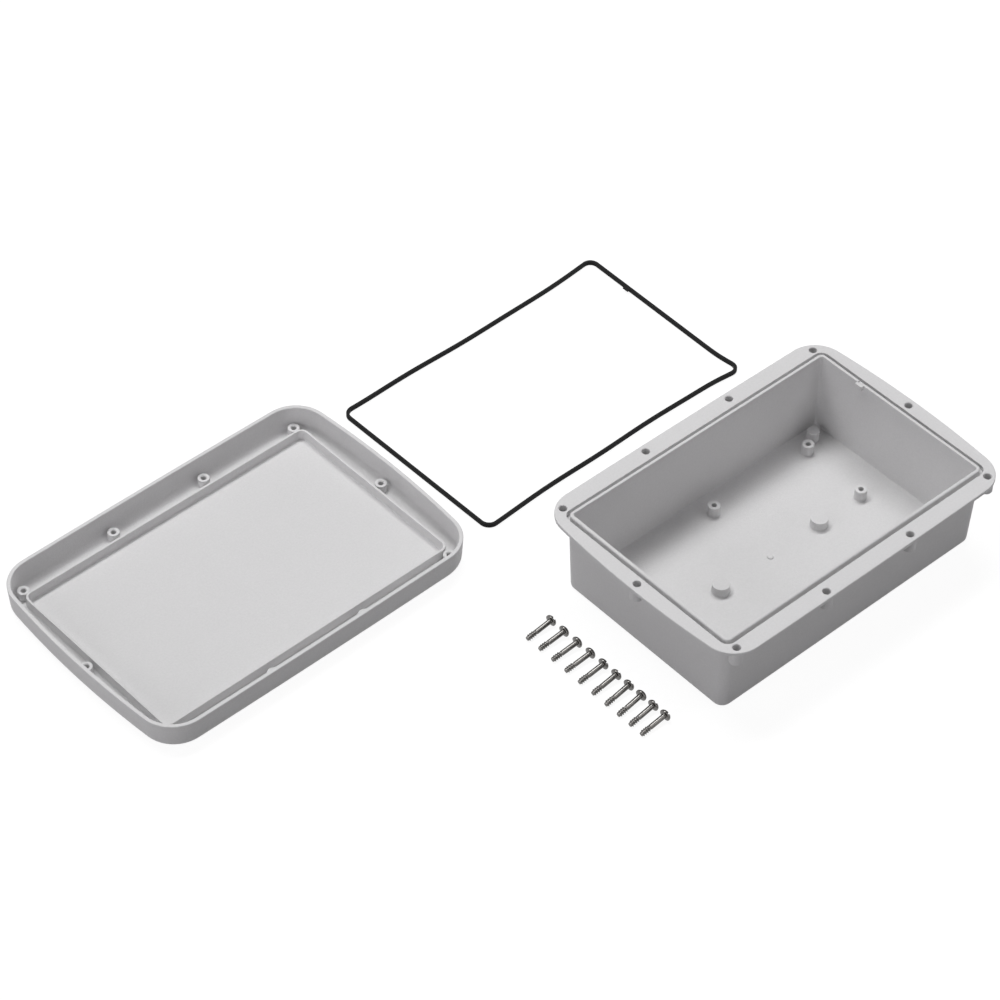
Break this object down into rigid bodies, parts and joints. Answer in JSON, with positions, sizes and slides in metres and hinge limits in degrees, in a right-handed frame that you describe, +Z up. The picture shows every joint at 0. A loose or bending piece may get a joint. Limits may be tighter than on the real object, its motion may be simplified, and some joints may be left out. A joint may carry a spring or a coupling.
{
  "type": "flanged project box",
  "caption": "Shallow plastic electronics enclosure taken apart: flanged base with sealing groove, deep-skirted lid, rubber gasket and screws laid side by side.",
  "frame": {"origin": "centre of the base's underside, on the surface that all pieces lie on", "axes": "+X along the base's length, +Y across it towards the gasket, +Z up"},
  "size_m": [0.4157, 0.3067, 0.0507],
  "materials": {
    "grey_plastic": "fine matte moulded ABS, light grey",
    "black_rubber": "black moulded rubber, satin",
    "stainless_steel": "plain stainless steel"
  },
  "bodies": {
    "root": {"base": "grey_plastic", "lid": "grey_plastic", "gasket": "black_rubber", "lid_screws": "stainless_steel"}
  },
  "joints": []
}
